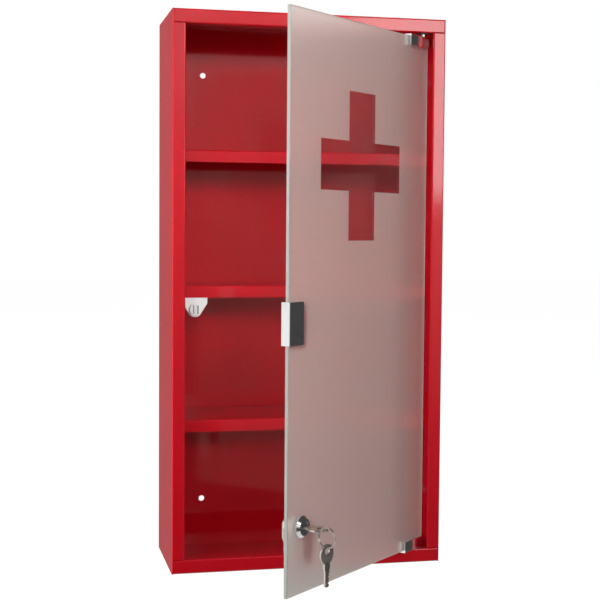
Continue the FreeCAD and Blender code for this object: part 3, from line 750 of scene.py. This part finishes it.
def tube(name: str, rows: np.ndarray) -> bpy.types.Object:
    """A closed tube through rings of points, with flat discs over its two ends.

    Args:
        name: the piece's name.
        rows: the points, by ring, place in the ring and axis.

    Returns:
        The piece, smooth, in the scene.
    """
    count, sides, _ = rows.shape
    ring = np.arange(sides)
    step = np.arange(count - 1)[:, None] * sides
    here, there = step + ring, step + (ring + 1) % sides
    quads = np.stack((here, here + sides, there + sides, there), axis=-1).reshape(-1, 4)
    ends = [tuple(ring.tolist()), tuple((ring[::-1] + (count - 1) * sides).tolist())]
    mesh = bpy.data.meshes.new(name)
    mesh.from_pydata(rows.reshape(-1, 3).tolist(), [], quads.tolist() + ends)
    mesh.polygons.foreach_set("use_smooth", np.ones(len(mesh.polygons), dtype=bool))
    mesh.update()
    piece = bpy.data.objects.new(name, mesh)
    bpy.context.scene.collection.objects.link(piece)
    return piece


@dataclass(frozen=True)
class SoftLamp:
    """A rectangular soft box, aimed at the object."""

    name: str
    place: Point
    aim: Point
    size: Span
    power: float
    mirrored: bool = False
    spread: float = 180.0

    def build(self) -> None:
        """Hang the lamp."""
        lamp = bpy.data.lights.new(self.name, "AREA")
        lamp.shape = "RECTANGLE"
        lamp.size, lamp.size_y = self.size
        lamp.energy = self.power
        lamp.spread = math.radians(self.spread)
        holder = bpy.data.objects.new(self.name, lamp)
        holder.visible_camera = False
        holder.visible_glossy = self.mirrored
        holder.visible_transmission = False
        holder.location = self.place
        away = Vector(self.aim) - Vector(self.place)
        holder.rotation_euler = away.to_track_quat("-Z", "Y").to_euler()
        bpy.context.scene.collection.objects.link(holder)


@dataclass(frozen=True)
class Surround:
    """White where it is seen, soft fill elsewhere, and a studio in what is mirrored.

    The mirrored studio has a lit wall to the left, a lit band in front that fades downwards
    and glares a little to the right, grey walls to the right and behind, a pale ground, and
    dark between them. Each step is the span of a direction over which a part comes in.
    """

    dim: float = 0.06
    left_step: Span = (0.6, 0.85)
    front_step: Span = (0.5, 0.8)
    front_least: float = 0.05
    front_low: float = 0.42
    front_low_step: Span = (-0.22, 0.05)
    front_high: float = 0.6
    front_high_step: Span = (0.03, 0.2)
    front_top_loss: float = 0.8
    front_top_step: Span = (0.2, 0.3)
    glare: float = 1.5
    glare_in: Span = (0.15, 0.4)
    glare_out: Span = (0.45, 0.6)
    right: float = 0.4
    right_step: Span = (0.6, 0.85)
    right_front_step: Span = (0.05, 0.25)
    behind: float = 0.16
    behind_step: Span = (0.4, 0.9)
    ground: float = 0.7
    ground_step: Span = (0.4, 0.7)
    backdrop_step: Span = (0.1, 0.5)
    below: float = 0.12
    below_step: Span = (-0.3, 0.0)
    through_most: float = 0.4
    fill: float = 0.38
    fill_least: float = 0.4
    fill_step: Span = (-0.1, 0.7)

    def mirrored(self, left: Shade, front: Shade, up: Shade) -> Shade:
        """What paint, metal and glass mirror.

        Args:
            left: how far the ray goes to the left.
            front: how far it goes to the front.
            up: how far it goes upwards.

        Returns:
            The brightness.
        """
        right = left * -1
        rising = (
            self.front_least
            + self.front_low * up.rise(*self.front_low_step)
            + self.front_high * up.rise(*self.front_high_step)
        )
        glare = right.rise(*self.glare_in) * (1 - right.rise(*self.glare_out))
        topped = 1 - up.rise(*self.front_top_step) * self.front_top_loss
        front_wall = front.rise(*self.front_step) * rising * (1 + self.glare * glare) * topped
        right_wall = right.rise(*self.right_step) * front.rise(*self.right_front_step) * self.right
        back_wall = (front * -1).rise(*self.behind_step) * self.behind
        ground = (up * -1).rise(*self.ground_step) * self.ground
        lit = front_wall.larger(back_wall).larger(right_wall).larger(left.rise(*self.left_step))
        return lit.larger(ground).larger(self.dim)

    def backdrop(self, front: Shade, up: Shade) -> Shade:
        """What clear glass shows behind the object: white, and darker downwards."""
        lifted = self.below + up.rise(*self.below_step) * (1 - self.below)
        return (front * -1).rise(*self.backdrop_step) * lifted

    def build(self) -> None:
        """Make the world, with a brightness of its own for each kind of ray."""
        world = bpy.data.worlds.new("surround")
        world.use_nodes = True
        bpy.context.scene.world = world
        graph = Graph(world.node_tree)
        direction = graph.node("ShaderNodeTexCoord").outputs["Generated"]
        left = graph.along((-1, 0, 0), point=direction)
        front = graph.along((0, -1, 0), point=direction)
        up = graph.along((0, 0, 1), point=direction)
        mirrored = self.mirrored(left, front, up)
        through = self.backdrop(front, up).larger(mirrored.smaller(self.through_most))
        overhead = self.fill * (
            self.fill_least + (1 - self.fill_least) * up.rise(*self.fill_step)
        )
        camera, passed = graph.rays("Camera"), graph.rays("Transmission")
        glossy = graph.rays("Glossy") * (1 - passed)
        other = 1 - camera.larger(passed).larger(glossy)
        strength = camera + passed * through + glossy * mirrored + other * overhead
        glow = graph.node("ShaderNodeBackground", None, {"Color": WHITE, "Strength": strength})
        graph.node("ShaderNodeOutputWorld", None, {"Surface": glow.outputs[0]})


@dataclass
class Studio:
    """Floor, surround, lamps and the camera at the photograph's view."""

    floor_half: float = 8.0
    floor_drop: float = 0.0004
    camera_place: Point = (-0.31773, -1.48026, 0.07082)
    yaw: float = 12.728
    pitch: float = 3.183
    roll: float = 0.435
    focal_share: float = 1287.99 / 600
    sensor: float = 36.0
    clip: Span = (0.01, 100)
    lamps: tuple[SoftLamp, ...] = (
        SoftLamp(
            "key_light",
            place=(1.0, -2.2, 0.6),
            aim=(0.0, -0.1, 0.0),
            size=(0.8, 0.9),
            power=12.5,
            mirrored=True,
        ),
        SoftLamp(
            "side_light",
            place=(-2.1, -0.15, 0.6),
            aim=(0.0, -0.1, 0.05),
            size=(0.8, 1.2),
            power=49.0,
        ),
        SoftLamp(
            "left_light",
            place=(-1.7, -1.2, -0.25),
            aim=(0.0, -0.1, -0.1),
            size=(0.8, 0.8),
            power=15.5,
        ),
        SoftLamp(
            "top_light",
            place=(-0.1, -1.2, 1.8),
            aim=(0.0, -0.1, 0.0),
            size=(1.4, 1.0),
            power=14.0,
        ),
        SoftLamp(
            "front_light",
            place=(-0.05, -2.0, 0.55),
            aim=(-0.05, -0.1, 0.15),
            size=(0.4, 0.4),
            power=0.36,
            spread=22.0,
        ),
        SoftLamp(
            "back_light",
            place=(0.6, 2.2, 0.0),
            aim=(0.0, 0.0, 0.0),
            size=(0.6, 0.5),
            power=10.0,
        ),
    )

    def build(self) -> None:
        """Set the whole stage."""
        self.build_floor()
        Surround().build()
        for lamp in self.lamps:
            lamp.build()
        self.build_camera()
        bpy.context.scene.view_settings.view_transform = "Standard"

    def build_floor(self) -> None:
        """A square floor under the object's lowest point, left out of what is mirrored."""
        low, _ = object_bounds()
        half, level = self.floor_half, low.z - self.floor_drop
        sides = ((-1, -1), (1, -1), (1, 1), (-1, 1))
        mesh = bpy.data.meshes.new("floor")
        mesh.from_pydata([(x * half, y * half, level) for x, y in sides], [], [(0, 1, 2, 3)])
        floor = bpy.data.objects.new("floor", mesh)
        bpy.context.scene.collection.objects.link(floor)
        floor.visible_glossy = False
        floor.visible_transmission = False
        wear(floor, PaleFloor("pale_floor").material())
        floor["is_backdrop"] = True

    def build_camera(self) -> None:
        """The camera, from its yaw to the right, pitch downwards and roll."""
        yaw, pitch, roll = (math.radians(v) for v in (self.yaw, self.pitch, self.roll))
        ahead = Vector(
            (math.sin(yaw) * math.cos(pitch), math.cos(yaw) * math.cos(pitch), -math.sin(pitch))
        )
        right = Vector((math.cos(yaw), -math.sin(yaw), 0))
        up = right.cross(ahead)
        across = math.cos(roll) * right + math.sin(roll) * up
        upward = -math.sin(roll) * right + math.cos(roll) * up
        lens = bpy.data.cameras.new("photo_view")
        lens.sensor_width = self.sensor
        lens.lens = self.focal_share * self.sensor
        lens.clip_start, lens.clip_end = self.clip
        camera = bpy.data.objects.new("photo_view", lens)
        turned = Matrix((across, upward, -ahead)).transposed()
        camera.matrix_world = Matrix.Translation(self.camera_place) @ turned.to_4x4()
        bpy.context.scene.collection.objects.link(camera)
        bpy.context.scene.camera = camera


def finishes() -> dict[Slot, Finish]:
    """Each slot's finish."""
    hinge = joint("door_hinge")
    made = (
        Enamel(
            Slot.RED_PAINT.value,
            colour=(0.52, 0.0025, 0.011, 1),
            shadow=(0.48, 0.0018, 0.009, 1),
            dust=(0.6, 0.12, 0.12, 1),
        ),
        Enamel(
            Slot.WHITE_PAINT.value,
            colour=(0.84, 0.83, 0.82, 1),
            shadow=(0.79, 0.78, 0.77, 1),
            dust=(0.9, 0.9, 0.9, 1),
            roughness=0.25,
        ),
        Moulded(
            Slot.WHITE_PLASTIC.value,
            colour=(0.86, 0.86, 0.84, 1),
            shadow=(0.8, 0.8, 0.78, 1),
            roughness=0.34,
            skin_size=0.0004,
            skin_depth=1.2e-5,
        ),
        FrostedGlass(
            Slot.FROSTED_GLASS.value,
            pivot=tuple(hinge["pos_m"]),
            angle=-hinge["range_deg"][0],
        ),
        BrightMetal(
            Slot.CHROME.value,
            colour=(0.84, 0.835, 0.825, 1),
            tarnish=(0.76, 0.75, 0.74, 1),
            roughness=0.045,
            smudge=0.06,
            hairline_depth=2e-6,
        ),
        BrightMetal(
            Slot.PLATED_STEEL.value,
            colour=(0.66, 0.60, 0.53, 1),
            tarnish=(0.50, 0.42, 0.35, 1),
            roughness=0.2,
            smudge=0.16,
            hairline_depth=6e-6,
        ),
        Moulded(
            Slot.PALE_MAGNET.value,
            colour=(0.82, 0.81, 0.80, 1),
            shadow=(0.76, 0.75, 0.74, 1),
            roughness=0.55,
            skin_size=0.0003,
            skin_depth=4e-5,
        ),
        BrightMetal(
            Slot.GREY_STEEL.value,
            colour=(0.34, 0.33, 0.32, 1),
            tarnish=(0.27, 0.26, 0.25, 1),
            roughness=0.42,
            smudge=0.1,
            hairline_depth=6e-6,
        ),
        Moulded(
            Slot.CLEAR_PAD.value,
            colour=(0.86, 0.87, 0.86, 1),
            shadow=(0.78, 0.79, 0.78, 1),
            roughness=0.22,
            skin_size=0.0008,
            skin_depth=2e-5,
            clear=0.7,
        ),
        Moulded(
            Slot.BLACK_PLASTIC.value,
            colour=(0.03, 0.03, 0.03, 1),
            shadow=(0.02, 0.02, 0.02, 1),
            roughness=0.36,
            skin_size=0.0004,
            skin_depth=1.2e-5,
        ),
        Moulded(
            Slot.BLACK_WASHER.value,
            colour=(0.034, 0.034, 0.034, 1),
            shadow=(0.018, 0.018, 0.018, 1),
            roughness=0.55,
            skin_size=0.0005,
            skin_depth=4e-5,
        ),
    )
    return {Slot(finish.name): finish for finish in made}


def main() -> None:
    """Dress the frame, set the studio and finish."""
    logging.basicConfig(level=logging.INFO, format="%(name)s: %(message)s")
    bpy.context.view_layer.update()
    slots = {row["node"]: Slot(row["material_slot"]) for row in frame["record"]["subparts"]}
    paints = {slot: finish.material() for slot, finish in finishes().items()}
    for assembly in (Carcass(), MagneticCatch(), GlassDoor(), CamLock(), KeyBunch()):
        assembly.dress(slots, paints)
    Studio().build()


if __name__ == "__main__":
    main()
